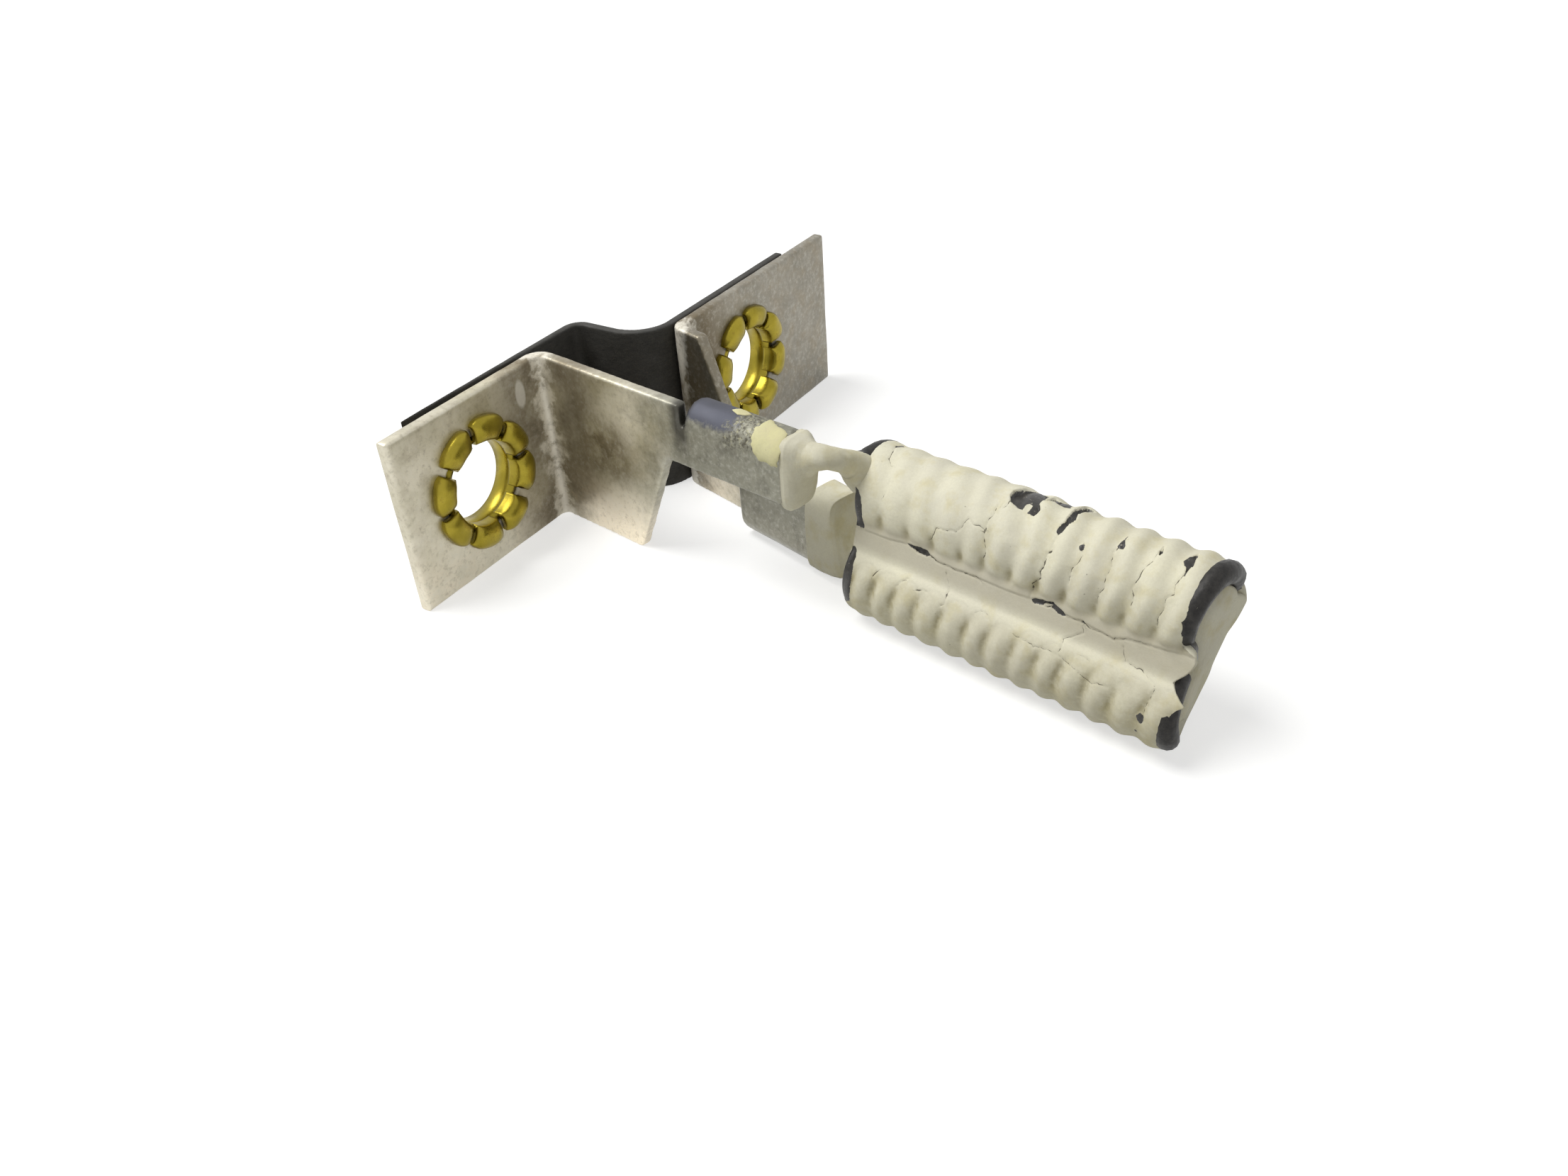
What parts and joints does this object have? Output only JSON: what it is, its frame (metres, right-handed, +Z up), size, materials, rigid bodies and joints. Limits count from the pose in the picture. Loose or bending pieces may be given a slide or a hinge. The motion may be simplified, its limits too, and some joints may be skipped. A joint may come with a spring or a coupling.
{
  "type": "hot-wire igniter element",
  "caption": "Hot-wire igniter: wire coils bedded in ribbed cement, held by bent crimp terminals that brass eyelets clamp to a stepped insulating strip.",
  "frame": {"origin": "middle of the bounding box, on the surface that the part stands on", "axes": "+X along the mounting tabs, from the short tab to the long one; +Y towards the back of the insulating strip, away from the coils; +Z up"},
  "size_m": [0.033, 0.0398, 0.01],
  "materials": {
    "terminal_sheet": "dull nickel-plated sheet, stained by heat",
    "eyelet_brass": "bright rolled brass",
    "insulating_sheet": "dark laminated sheet",
    "resistance_wire": "dark oxide",
    "cement": "matt, cream white, cracked"
  },
  "bodies": {
    "root": {"terminal_left": "terminal_sheet", "terminal_right": "terminal_sheet", "insulator_strip": "insulating_sheet", "eyelet_left": "eyelet_brass", "eyelet_right": "eyelet_brass", "heating_wire": "resistance_wire", "cement_jacket": "cement", "cement_core": "cement", "lead_cement_left": "cement", "lead_cement_right": "cement"}
  },
  "joints": []
}
